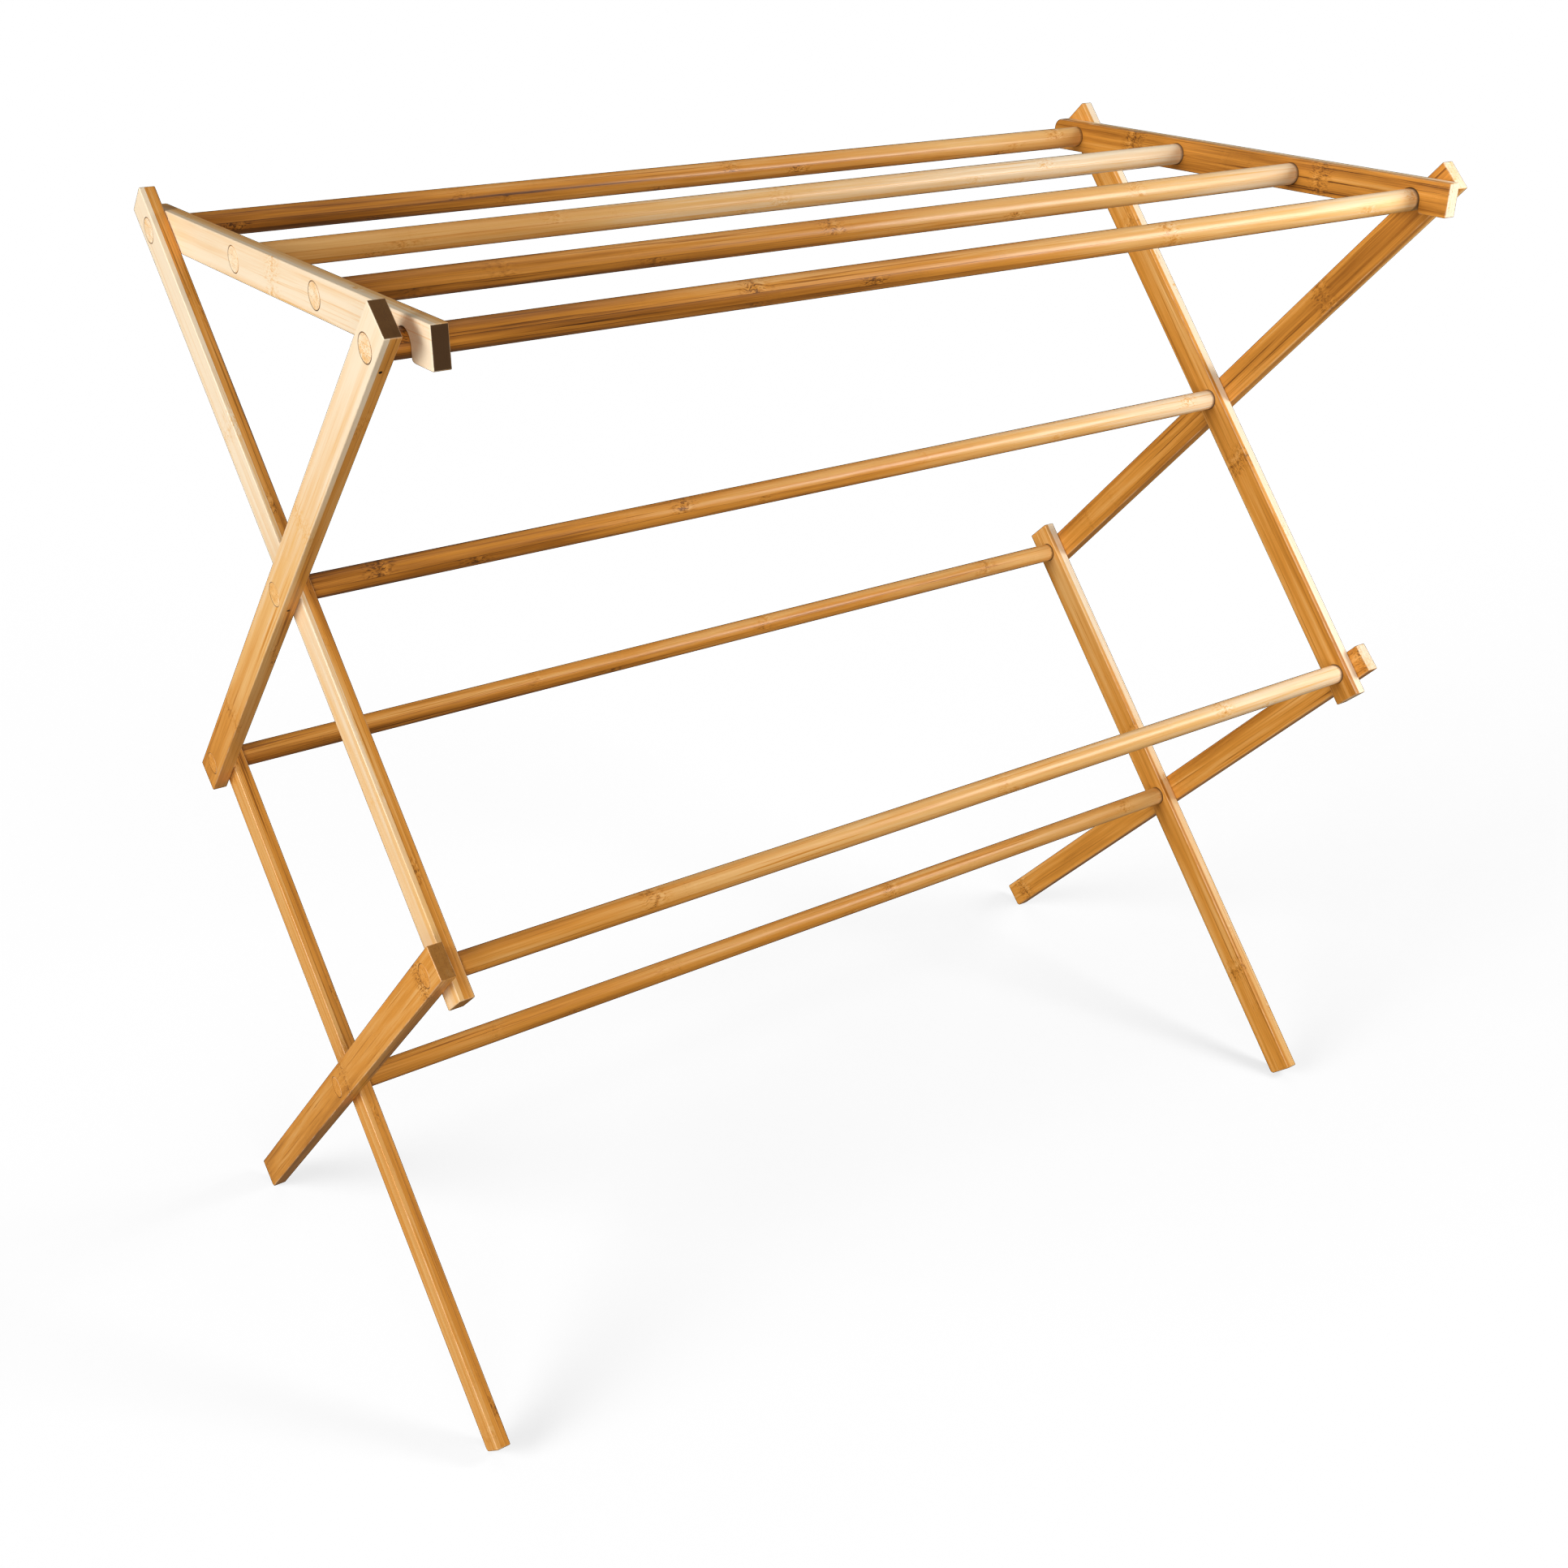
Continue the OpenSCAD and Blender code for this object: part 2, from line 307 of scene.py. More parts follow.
def only(piece):
    """Selects one piece and makes it the active one."""
    start_clean()
    piece.select_set(True)
    bpy.context.view_layer.objects.active = piece


def settle(piece):
    """Puts a piece's place, turn and size into its mesh."""
    only(piece)
    bpy.ops.object.transform_apply(location=True, rotation=True, scale=True)


def block(name, low, high):
    """A box between two corners."""
    start_clean()
    bpy.ops.mesh.primitive_cube_add(size=1, location=(low + high) / 2)
    piece = bpy.context.object
    piece.name = piece.data.name = name
    piece.scale = high - low
    settle(piece)
    return piece


def round_bar(name, centre, radius, length, axis, sides=ROUND_SIDES):
    """A closed cylinder along the given axis, X or Y."""
    turn = {"X": (0, math.pi / 2, 0), "Y": (math.pi / 2, 0, 0)}[axis]
    start_clean()
    bpy.ops.mesh.primitive_cylinder_add(
        vertices=sides, radius=radius, depth=length, location=centre, rotation=turn)
    piece = bpy.context.object
    piece.name = piece.data.name = name
    settle(piece)
    return piece


def pick_edges(piece, wanted):
    """Opens a piece for editing with only the edges selected whose two ends pass the test."""
    only(piece)
    bpy.ops.object.mode_set(mode="EDIT")
    bpy.ops.mesh.select_mode(type="EDGE")
    bpy.ops.mesh.select_all(action="DESELECT")
    bpy.ops.object.mode_set(mode="OBJECT")
    points = piece.data.vertices
    count = 0
    for edge in piece.data.edges:
        a, b = (points[i].co for i in edge.vertices)
        edge.select = bool(wanted(a, b))
        count += edge.select
    if not count:
        raise RuntimeError(f"no edge of {piece.name} was picked")
    bpy.ops.object.mode_set(mode="EDIT")


def round_edges(piece, wanted, radius, steps):
    """Rounds the edges that pass the test."""
    pick_edges(piece, wanted)
    bpy.ops.mesh.bevel(offset=radius, segments=steps, affect="EDGES", clamp_overlap=True)
    bpy.ops.object.mode_set(mode="OBJECT")


def cut(piece, tool):
    """Cuts one closed shape out of a piece and throws the shape away."""
    only(piece)
    modifier = piece.modifiers.new("cut", "BOOLEAN")
    modifier.operation = "DIFFERENCE"
    modifier.solver = "EXACT"
    modifier.object = tool
    bpy.ops.object.modifier_apply(modifier=modifier.name)
    only(tool)
    bpy.ops.object.delete()


def drill(piece, centre, radius, rim, low, high):
    """A hole through a bar along X, with an eased rim on both faces."""
    length = 2 * (high.x - low.x)
    at = Vector(((low.x + high.x) / 2, centre.y, centre.z))
    cut(piece, round_bar("drill", at, radius, length, "X"))

    def on_rim(a, b):
        for point in (a, b):
            if min(abs(point.x - low.x), abs(point.x - high.x)) > SNAP:
                return False
            off = math.hypot(point.y - at.y, point.z - at.z)
            if abs(off - radius) > SNAP:
                return False
        return abs(a.x - b.x) < SNAP

    round_edges(piece, on_rim, rim, RIM_STEPS)


def all_edges(a, b):
    """Picks every edge."""
    return True


def smooth(piece):
    """Smooth rounded edges beside flat faces."""
    only(piece)
    bpy.ops.object.shade_smooth_by_angle(angle=SMOOTH_ANGLE)
    modifier = piece.modifiers.new("normals", "WEIGHTED_NORMAL")
    modifier.keep_sharp = True
    bpy.ops.object.modifier_apply(modifier=modifier.name)


def twin(piece, name, shift):
    """A copy of a piece with its own mesh, moved over."""
    only(piece)
    bpy.ops.object.duplicate(linked=False)
    copy = bpy.context.object
    copy.name = copy.data.name = name
    copy.location = shift
    settle(copy)
    return copy


def nail_places(node, turn):
    """The box of each nail of a CAD node once the turn is undone."""
    back = turn.inverted()
    heaps = []
    for vertex in frame["nodes"][node].data.vertices:
        point = back @ vertex.co
        near = [heap for heap in heaps if (heap[0] - point).length < NAIL_REACH]
        if near:
            near[0].append(point)
        else:
            heaps.append([point])
    return [
        (Vector(min(p[i] for p in heap) for i in range(3)),
         Vector(max(p[i] for p in heap) for i in range(3)))
        for heap in heaps
    ]


# ---------------------------------------------------------------- grain


def store(mesh, name, values, kind="FLOAT", domain="POINT"):
    """Stores one attribute, in place of an old one of the same name."""
    if name in mesh.attributes:
        mesh.attributes.remove(mesh.attributes[name])
    field = "vector" if kind == "FLOAT_VECTOR" else "value"
    mesh.attributes.new(name, kind, domain).data.foreach_set(field, values)


def mark_grain(piece, node, to_grain, low, high, straight):
    """Stores where each point lies in its bar, and what kind of surface it is on.

    grain is across, across and along the fibres, with the three strips lying from -1.5 to 1.5.
    figure is the same place in metres, moved by this piece's own offset. strips holds how pale
    the three strips are, with painted light in them, end_tone how pale the cut ends are, with a
    painted highlight on the lit ones, and end_grain how stained they are and how much painted shade
    they take.
    lot is this piece's own number. worn is 1 along the middle of rounded edges, and drilled is 1
    inside holes and hooks.
    """
    dice = random.Random(node)
    mesh = piece.data
    along = [to_grain @ vertex.co for vertex in mesh.vertices]
    thick = max(point.x for point in along) - min(point.x for point in along)
    start, end = min(point.z for point in along), max(point.z for point in along)
    offset = Vector((dice.uniform(-1.0, 1.0), dice.uniform(-1.0, 1.0), dice.uniform(0.0, 6.0)))
    near, far = (Vector(row) for row in STRIP_TONES_AND_LIGHT[node])
    place, figure, tones_and_light = [], [], []
    for point in along:
        place.extend((3 * point.x / thick, point.y, point.z))
        figure.extend(point + offset)
        tones_and_light.extend(near.lerp(far, (point.z - start) / (end - start)))
    store(mesh, "grain", place, "FLOAT_VECTOR")
    store(mesh, "figure", figure, "FLOAT_VECTOR")
    store(mesh, "strips", tones_and_light, "FLOAT_VECTOR")
    store(mesh, "lot", [dice.uniform(0.0, 50.0)] * len(along))
    store(mesh, "end_tone", [END_TONES_AND_LIGHT.get(node, PLAIN_END)] * len(along))
    turn = to_grain.to_3x3()
    stain_and_shade = RUNG_STAIN if "rung" in node else END_STAIN_AND_SHADE.get(node, PLAIN_STAIN)
    facing = [abs((turn @ face.normal).z) for face in mesh.polygons]
    ends = [stain_and_shade if part > END_FACING else 0.0 for part in facing]
    store(mesh, "end_grain", ends, domain="FACE")
    back = straight.inverted()
    edge = bpy.context.scene.rack_shape.edge_round
    worn, drilled = [], []
    for vertex in mesh.vertices:
        point = back @ vertex.co
        depths = [min(abs(point[i] - low[i]), abs(point[i] - high[i])) for i in range(3)]
        inside = min(depths) > SNAP
        by_edge = sum(depth < edge for depth in depths) > 1
        worn.append(1.0 if inside and by_edge else 0.0)
        drilled.append(1.0 if inside and not by_edge else 0.0)
    store(mesh, "worn", worn)
    store(mesh, "drilled", drilled)


# ---------------------------------------------------------------- materials


# nodes are laid out in a grid
GRID_STEP = 220
GRID_ROWS = 8

LACQUER = {
    "IOR": 1.5, "Specular IOR Level": 0.38, "Coat Weight": 0.14, "Coat Roughness": 0.22,
}
# a knuckle, in metres along the bar: half its dark ring, how far the ring wanders, where the pale
# swelling beside it lies and half its width, and where the swirled fibres round it begin and end
RING_HALF = 0.0022
RING_WANDER = 0.016
SWELLING_AT = 0.0050
SWELLING_HALF = 0.0045
SWIRL_FROM, SWIRL_TO = 0.001, 0.018
SWIRL_PUSH = 0.010
# how much each part of the figure adds to a strip's tone
FIGURE = {
    "slow": 0.40, "band": 0.60, "fine": -0.36, "line": -0.34,
    "mark": -0.46, "ring": -0.24, "swelling": 0.10, "seam": -0.26,
}
END_FIGURE = 0.5  # share of the figure that is left on cut ends
ENTRY_LEAST = 0.0006  # least half width of the dark line where a rung enters a bar, in metres
NO_ENTRY = 0.01  # pieces that store less than this have no such line
WORN_AND_LIT_PALE = 0.4  # share of the pale fibre on worn edges, part wear and part painted highlight
ENTRY_SHADE_DARK = 0.85  # share of the darkest fibre in the painted contact shadow where a rung enters a bar
HOLE_DARK = 0.8  # share of the darkest fibre inside holes and hooks, painted shade with some burn marks
GRAIN_DEPTH = 0.00025
RUST = (0.075, 0.030, 0.012, 1.0)
RUST_DULL = 0.7  # how much less like metal the rust is
SCRATCH_DEPTH = 0.00005


class Nodes:
    """A short way to write a material's nodes."""

    def __init__(self, material):
        material.use_nodes = True
        self.tree = material.node_tree
        self.shader = self.tree.nodes["Principled BSDF"]
        self.made = 0

    def new(self, kind, **values):
        """A node to the left of the shader, in the next free place of a grid."""
        node = self.tree.nodes.new(kind)
        column, row = divmod(self.made, GRID_ROWS)
        node.location = (-GRID_STEP * (column + 2), -GRID_STEP * row)
        self.made += 1
        for name, value in values.items():
            setattr(node, name, value)
        return node

    def put(self, socket, value):
        """Links a socket to another, or sets it."""
        if isinstance(value, bpy.types.NodeSocket):
            self.tree.links.new(value, socket)
        elif value is not None:
            socket.default_value = value

    def math(self, kind, a, b=None, c=None, clamp=False):
        node = self.new("ShaderNodeMath", operation=kind, use_clamp=clamp)
        for socket, value in zip(node.inputs, (a, b, c)):
            self.put(socket, value)
        return node.outputs[0]

    def ease(self, value, low, high, to_low=0.0, to_high=1.0):
        """A smooth step from low to high."""
        node = self.new("ShaderNodeMapRange", interpolation_type="SMOOTHSTEP")
        for name, part in (
                ("Value", value), ("From Min", low), ("From Max", high),
                ("To Min", to_low), ("To Max", to_high)):
            self.put(node.inputs[name], part)
        return node.outputs["Result"]

    def combine(self, x, y, z):
        node = self.new("ShaderNodeCombineXYZ")
        for socket, value in zip(node.inputs, (x, y, z)):
            self.put(socket, value)
        return node.outputs[0]

    def noise(self, place, scale=1.0, detail=3.0, rough=0.5):
        node = self.new("ShaderNodeTexNoise", noise_dimensions="3D")
        self.put(node.inputs["Vector"], place)
        node.inputs["Scale"].default_value = scale
        node.inputs["Detail"].default_value = detail
        node.inputs["Roughness"].default_value = rough
        return node.outputs["Fac"]

    def dice(self, x, y=0.0):
        """An even random number for each whole x and y."""
        node = self.new("ShaderNodeTexWhiteNoise", noise_dimensions="2D")
        self.put(node.inputs["Vector"], self.combine(x, y, 0.0))
        return node.outputs["Value"]

    def pick(self, share, a, b):
        """Number a where share is 0 and b where it is 1."""
        node = self.new("ShaderNodeMix", data_type="FLOAT")
        self.put(node.inputs[0], share)
        self.put(node.inputs[2], a)
        self.put(node.inputs[3], b)
        return node.outputs[0]

    def blend(self, share, a, b):
        """Colour a where share is 0 and b where it is 1."""
        node = self.new("ShaderNodeMix", data_type="RGBA", clamp_factor=True)
        self.put(node.inputs["Factor"], share)
        self.put(node.inputs[6], a)
        self.put(node.inputs[7], b)
        return node.outputs[2]

    def attribute(self, name, output):
        node = self.new("ShaderNodeAttribute", attribute_name=name)
        return node.outputs[output]


def rgba(colour):
    """A property's colour as four numbers."""
    return (*colour, 1.0)


def bamboo(name):
    """Laminated bamboo: glued strips, long fibres, knuckles, fibre ends and worn edges, with painted light in the
    strip colours, painted highlights on edges and lit ends, and painted shade on dark ends, in holes and where
    rungs enter.
    """
    look = bpy.context.scene.rack_bamboo
    material = bpy.data.materials.new(name)
    n = Nodes(material)
    in_bar = n.new("ShaderNodeSeparateXYZ")
    n.put(in_bar.inputs[0], n.attribute("grain", "Vector"))
    split = n.new("ShaderNodeSeparateXYZ")
    n.put(split.inputs[0], n.attribute("figure", "Vector"))
    across, wide, along = split.outputs

    # the three strips, each with its own tone, which holds painted light, and its own row of knuckles
    strip = n.math("ADD", in_bar.outputs[0], 1.5)
    strip_no = n.math("FLOOR", strip)
    strip_in = n.math("FRACT", strip)
    tones_and_light = n.new("ShaderNodeSeparateXYZ")
    n.put(tones_and_light.inputs[0], n.attribute("strips", "Vector"))
    first, second, third = tones_and_light.outputs
    past_first = n.math("GREATER_THAN", strip, 1.0)
    past_second = n.math("GREATER_THAN", strip, 2.0)
    strip_tone_and_light = n.pick(past_second, n.pick(past_first, first, second), third)
    own = n.attribute("lot", "Fac")
    place = n.math("ADD", n.math("DIVIDE", along, look.knuckle_gap),
                   n.math("MULTIPLY", n.dice(strip_no, own), 9.0))
    knuckle_no = n.math("FLOOR", place)
    chance = n.dice(knuckle_no, own)
    strength = n.ease(n.dice(knuckle_no, n.math("ADD", own, 3.0)), 0.1, 0.8, 0.25, 1.0)
    centred = n.math("SUBTRACT", n.math("FRACT", place), n.math("MULTIPLY_ADD", chance, 0.4, 0.3))
    away = n.math("MULTIPLY", centred, look.knuckle_gap)
    wander = n.noise(n.combine(across, wide, 0.0), scale=70.0, detail=1.0)
    bowed = n.math("MULTIPLY_ADD", n.math("SUBTRACT", wander, 0.5), RING_WANDER, away)
    broken = n.noise(n.combine(across, wide, along), scale=420.0, detail=3.0)
    ring = n.ease(n.math("ABSOLUTE", bowed), 0.0, RING_HALF, 1.0, 0.0)
    ring = n.math("MULTIPLY", n.math("MULTIPLY", ring, strength), n.ease(broken, 0.35, 0.62))
    beside = n.math("ABSOLUTE", n.math("SUBTRACT", bowed, SWELLING_AT))
    swelling = n.math("MULTIPLY", n.ease(beside, 0.0, SWELLING_HALF, 1.0, 0.0), strength)
    halo = n.ease(n.math("ABSOLUTE", bowed), SWIRL_FROM, SWIRL_TO, 1.0, 0.0)
    halo = n.math("MULTIPLY", halo, strength)

    # fibres swirl beside a knuckle
    swirl = n.noise(n.combine(across, wide, along), scale=95.0, detail=2.0)
    push = n.math("MULTIPLY", n.math("SUBTRACT", swirl, 0.5), halo)
    push = n.math("MULTIPLY", push, SWIRL_PUSH)
    x_in = n.math("ADD", across, push)
    y_in = n.math("ADD", wide, push)

    def fibres(density, slowness, detail, rough):
        """Noise drawn out along the bar."""
        return n.noise(n.combine(
            n.math("MULTIPLY", x_in, density), n.math("MULTIPLY", y_in, density),
            n.math("MULTIPLY", along, density / slowness)), detail=detail, rough=rough)

    fine = fibres(1700.0, 70.0, 4.0, 0.6)
    streak = fibres(560.0, 110.0, 3.0, 0.6)
    band = fibres(170.0, 45.0, 2.0, 0.5)
    slow = fibres(30.0, 6.0, 2.0, 0.5)
    flecks = n.noise(n.combine(n.math("MULTIPLY", x_in, 1100.0), n.math("MULTIPLY", y_in, 1100.0),
                               n.math("MULTIPLY", along, 260.0)), detail=2.0)
    dark_line = n.math("MULTIPLY", n.ease(streak, 0.56, 0.68), n.ease(slow, 0.35, 0.65, 0.3, 1.0))

    # glue seams only between two strips, not at the outer faces
    seam = n.ease(n.math("ABSOLUTE", n.math("SUBTRACT", strip_in, 0.5)), 0.46, 0.495)
    between = n.math("LESS_THAN", n.math("ABSOLUTE", in_bar.outputs[0]), 1.0)
    seam = n.math("MULTIPLY", seam, between)

    # tone from the darkest fibres at 0 to cream at 1; dark strips have the strongest figure
    parts = {
        "slow": n.math("SUBTRACT", slow, 0.5),
        "band": n.math("SUBTRACT", band, 0.5),
        "fine": n.math("SUBTRACT", fine, 0.5),
        "line": dark_line,
        "mark": n.math("MULTIPLY", halo, n.ease(flecks, 0.48, 0.66)),
        "ring": ring,
        "swelling": swelling,
        "seam": seam,
    }
    figure = 0.0
    for part, weight in FIGURE.items():
        figure = n.math("MULTIPLY_ADD", parts[part], weight, figure)
    figure = n.math("MULTIPLY", figure, n.ease(strip_tone_and_light, 0.1, 1.0, 1.4, 0.5))
    stain_and_shade = n.attribute("end_grain", "Fac")
    is_end = n.math("GREATER_THAN", stain_and_shade, RUNG_STAIN / 2)
    figure = n.math("MULTIPLY", figure, n.pick(is_end, 1.0, END_FIGURE))
    ground = n.pick(is_end, strip_tone_and_light, n.attribute("end_tone", "Fac"))
    tone = n.math("ADD", figure, ground, clamp=True)

    ramp = n.new("ShaderNodeValToRGB")
    n.put(ramp.inputs["Fac"], tone)
    points = ramp.color_ramp.elements
    points[0].position, points[0].color = 0.0, rgba(look.umber)
    points[1].position, points[1].color = 0.96, rgba(look.pale)
    for position, colour in ((0.24, look.brown), (0.5, look.honey), (0.74, look.gold)):
        points.new(position).color = rgba(colour)

    # the ends of the fibres, denser towards one side of each strip
    spots = n.new("ShaderNodeTexVoronoi", voronoi_dimensions="3D", feature="F1")
    n.put(spots.inputs["Vector"], n.combine(across, wide, 0.0))
    spots.inputs["Scale"].default_value = 1300.0
    dots = n.ease(spots.outputs["Distance"], 0.20, 0.42, 1.0, 0.0)
    dense = n.math("MULTIPLY", dots, n.math("MULTIPLY_ADD", strip_in, 0.4, 0.1))
    # cut ends darken with their staining and with their painted shade
    cut_end = n.blend(stain_and_shade, ramp.outputs["Color"], rgba(look.end_dark))
    cut_end = n.blend(dense, cut_end, rgba(look.end_dark))
    colour = n.blend(is_end, ramp.outputs["Color"], cut_end)

    # edges are worn paler, in patches, with a painted highlight along them
    patch = n.noise(n.combine(n.math("MULTIPLY", across, 60.0), n.math("MULTIPLY", wide, 60.0),
                              n.math("MULTIPLY", along, 45.0)), detail=3.0)
    rubbed_and_lit = n.math("MULTIPLY", n.attribute("worn", "Fac"), n.ease(patch, 0.40, 0.62, 0.15, 0.75))
    colour = n.blend(n.math("MULTIPLY", rubbed_and_lit, WORN_AND_LIT_PALE), colour, rgba(look.pale))

    # a painted contact shadow, partly glue, where a rung enters its bars
    entry = n.attribute("entry", "Fac")
    from_entry = n.math("SUBTRACT", entry, n.math("ABSOLUTE", in_bar.outputs[2]))
    shade_wobble = n.noise(n.combine(across, wide, along), scale=240.0, detail=2.0)
    reach = n.math("MULTIPLY_ADD", shade_wobble, look.joint_shade_line, ENTRY_LEAST)
    gone = n.math("DIVIDE", n.math("ABSOLUTE", from_entry), reach)
    line = n.math("SUBTRACT", 1.0, gone, clamp=True)
    line = n.math("MULTIPLY", line, n.math("GREATER_THAN", entry, NO_ENTRY))
    colour = n.blend(n.math("MULTIPLY", line, ENTRY_SHADE_DARK), colour, rgba(look.umber))

    # painted shade inside holes and hooks, with some burn marks from the drill
    drilled = n.attribute("drilled", "Fac")
    colour = n.blend(n.math("MULTIPLY", drilled, HOLE_DARK), colour, rgba(look.umber))
    n.put(n.shader.inputs["Base Color"], colour)

    rough = n.math("MULTIPLY_ADD", fine, 0.16, look.gloss - 0.08)
    rough = n.math("MULTIPLY_ADD", rubbed_and_lit, 0.15, rough)
    rough = n.math("MULTIPLY_ADD", is_end, 0.45, rough)
    n.put(n.shader.inputs["Roughness"], rough)
    for socket, value in LACQUER.items():
        n.shader.inputs[socket].default_value = value

    height = n.math("MULTIPLY_ADD", fine, 0.35, n.math("MULTIPLY", streak, 0.5))
    height = n.math("MULTIPLY_ADD", ring, -0.3, height)
    height = n.math("MULTIPLY_ADD", seam, -0.5, height)
    height = n.math("MULTIPLY_ADD", n.math("MULTIPLY", dense, is_end), -0.8, height)
    bump = n.new("ShaderNodeBump")
    bump.inputs["Strength"].default_value = 0.35
    bump.inputs["Distance"].default_value = GRAIN_DEPTH
    n.put(bump.inputs["Height"], height)
    n.put(n.shader.inputs["Normal"], bump.outputs["Normal"])
    return material


def nail_steel():
    """Dull dark steel with fine scratches and a little rust."""
    look = bpy.context.scene.rack_metal
    material = bpy.data.materials.new("nail_steel")
    n = Nodes(material)
    place = n.new("ShaderNodeTexCoord").outputs["Object"]
    grime = n.noise(place, scale=2200.0, detail=4.0, rough=0.6)
    scratch = n.noise(place, scale=9000.0, detail=2.0)
    rust = n.ease(grime, 0.52, 0.70)
    colour = n.blend(rust, rgba(look.steel), RUST)
    n.put(n.shader.inputs["Base Color"], colour)
    n.put(n.shader.inputs["Roughness"], n.math("MULTIPLY_ADD", grime, 0.4, 0.28))
    dull = n.math("MULTIPLY", rust, RUST_DULL)
    n.put(n.shader.inputs["Metallic"], n.math("SUBTRACT", 1.0, dull))
    bump = n.new("ShaderNodeBump")
    bump.inputs["Strength"].default_value = 0.3
    bump.inputs["Distance"].default_value = SCRATCH_DEPTH
    n.put(bump.inputs["Height"], scratch)
    n.put(n.shader.inputs["Normal"], bump.outputs["Normal"])
    return material


def dress(piece, node, body, material):
    """Finishes a piece: its material, its body, and the CAD node that it stands for."""
    piece.data.materials.clear()
    piece.data.materials.append(material)
    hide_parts(node)
    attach(piece, body)


# ---------------------------------------------------------------- pieces


def rungs_in(low, high, turn):
    """Centre and radius of each rung that passes through a bar, with the bar's turn undone."""
    back = turn.inverted()
    found = []
    for node, _ in nodes_with("rung"):
        rung_low, rung_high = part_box(node)
        centre = back @ centre_of(node)
        covers = rung_low.x < high.x - SNAP and rung_high.x > low.x + SNAP
        inside = low.y < centre.y < high.y and low.z < centre.z < high.z
        if covers and inside:
            found.append((centre, radius_of(node)))
    return found


class RACK_OT_legs(bpy.types.Operator):
    """Eight legs: rounded bars with drilled holes, nail recesses and trimmed feet"""

    bl_idname = "rack.legs"
    bl_label = "Legs"

    def execute(self, context):
        shape = context.scene.rack_shape
        material = bamboo("bamboo_leg")
        for body, turn in LEG_TURNS.items():
            names = [name for name in BODIES[body] if "leg" in name]
            right = next(name for name in names if "right" in name)
            left = next(name for name in names if "left" in name)
            low, high = span(right, turn)
            leg = block(right + WOOD, low, high)
            if body.startswith("lower"):
                self.trim_foot(leg, turn)
            round_edges(leg, all_edges, shape.edge_round, EDGE_STEPS)
            for centre, radius in rungs_in(low, high, turn):
                drill(leg, centre, radius + shape.hole_play, shape.rim_round, low, high)
            for nails in (name for name in BODIES[body] if "nails" in name):
                for nail_low, nail_high in nail_places(nails, turn):
                    if nail_low.x > 0:
                        sink_nail(leg, nail_low, nail_high, low, high)
            smooth(leg)
            leg.matrix_world = turn
            settle(leg)
            shift = Vector((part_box(left)[0].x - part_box(right)[0].x, 0, 0))
            pair = {right: leg, left: twin(leg, left + WOOD, shift)}
            for name, piece in pair.items():
                bar = span(name, turn)
                middle = (bar[0] + bar[1]) / 2
                to_grain = Matrix.Translation(-middle) @ turn.inverted()
                mark_grain(piece, name, to_grain, *bar, turn)
                dress(piece, name, body, material)
        return {"FINISHED"}

    def trim_foot(self, leg, turn):
        """Takes off what would stand below the floor."""
        back = turn.inverted()
        only(leg)
        bpy.ops.object.mode_set(mode="EDIT")
        bpy.ops.mesh.select_all(action="SELECT")
        bpy.ops.mesh.bisect(
            plane_co=back @ Vector((0, 0, 0)), plane_no=back.to_3x3() @ Vector((0, 0, 1)),
            use_fill=True, clear_inner=True)
        bpy.ops.object.mode_set(mode="OBJECT")


def sink_nail(bar, nail_low, nail_high, low, high):
    """A recess for one nail's head in the front or back edge of a bar."""
    shape = bpy.context.scene.rack_shape
    centre = (nail_low + nail_high) / 2
    front = abs(nail_low.y - low.y) < abs(nail_high.y - high.y)
    face = low.y if front else high.y
    radius = (nail_high.x - nail_low.x) / 2 + shape.nail_gap
    at = Vector((centre.x, face, centre.z))
    cut(bar, round_bar("punch", at, radius, 2 * shape.nail_depth, "Y", NAIL_SIDES))


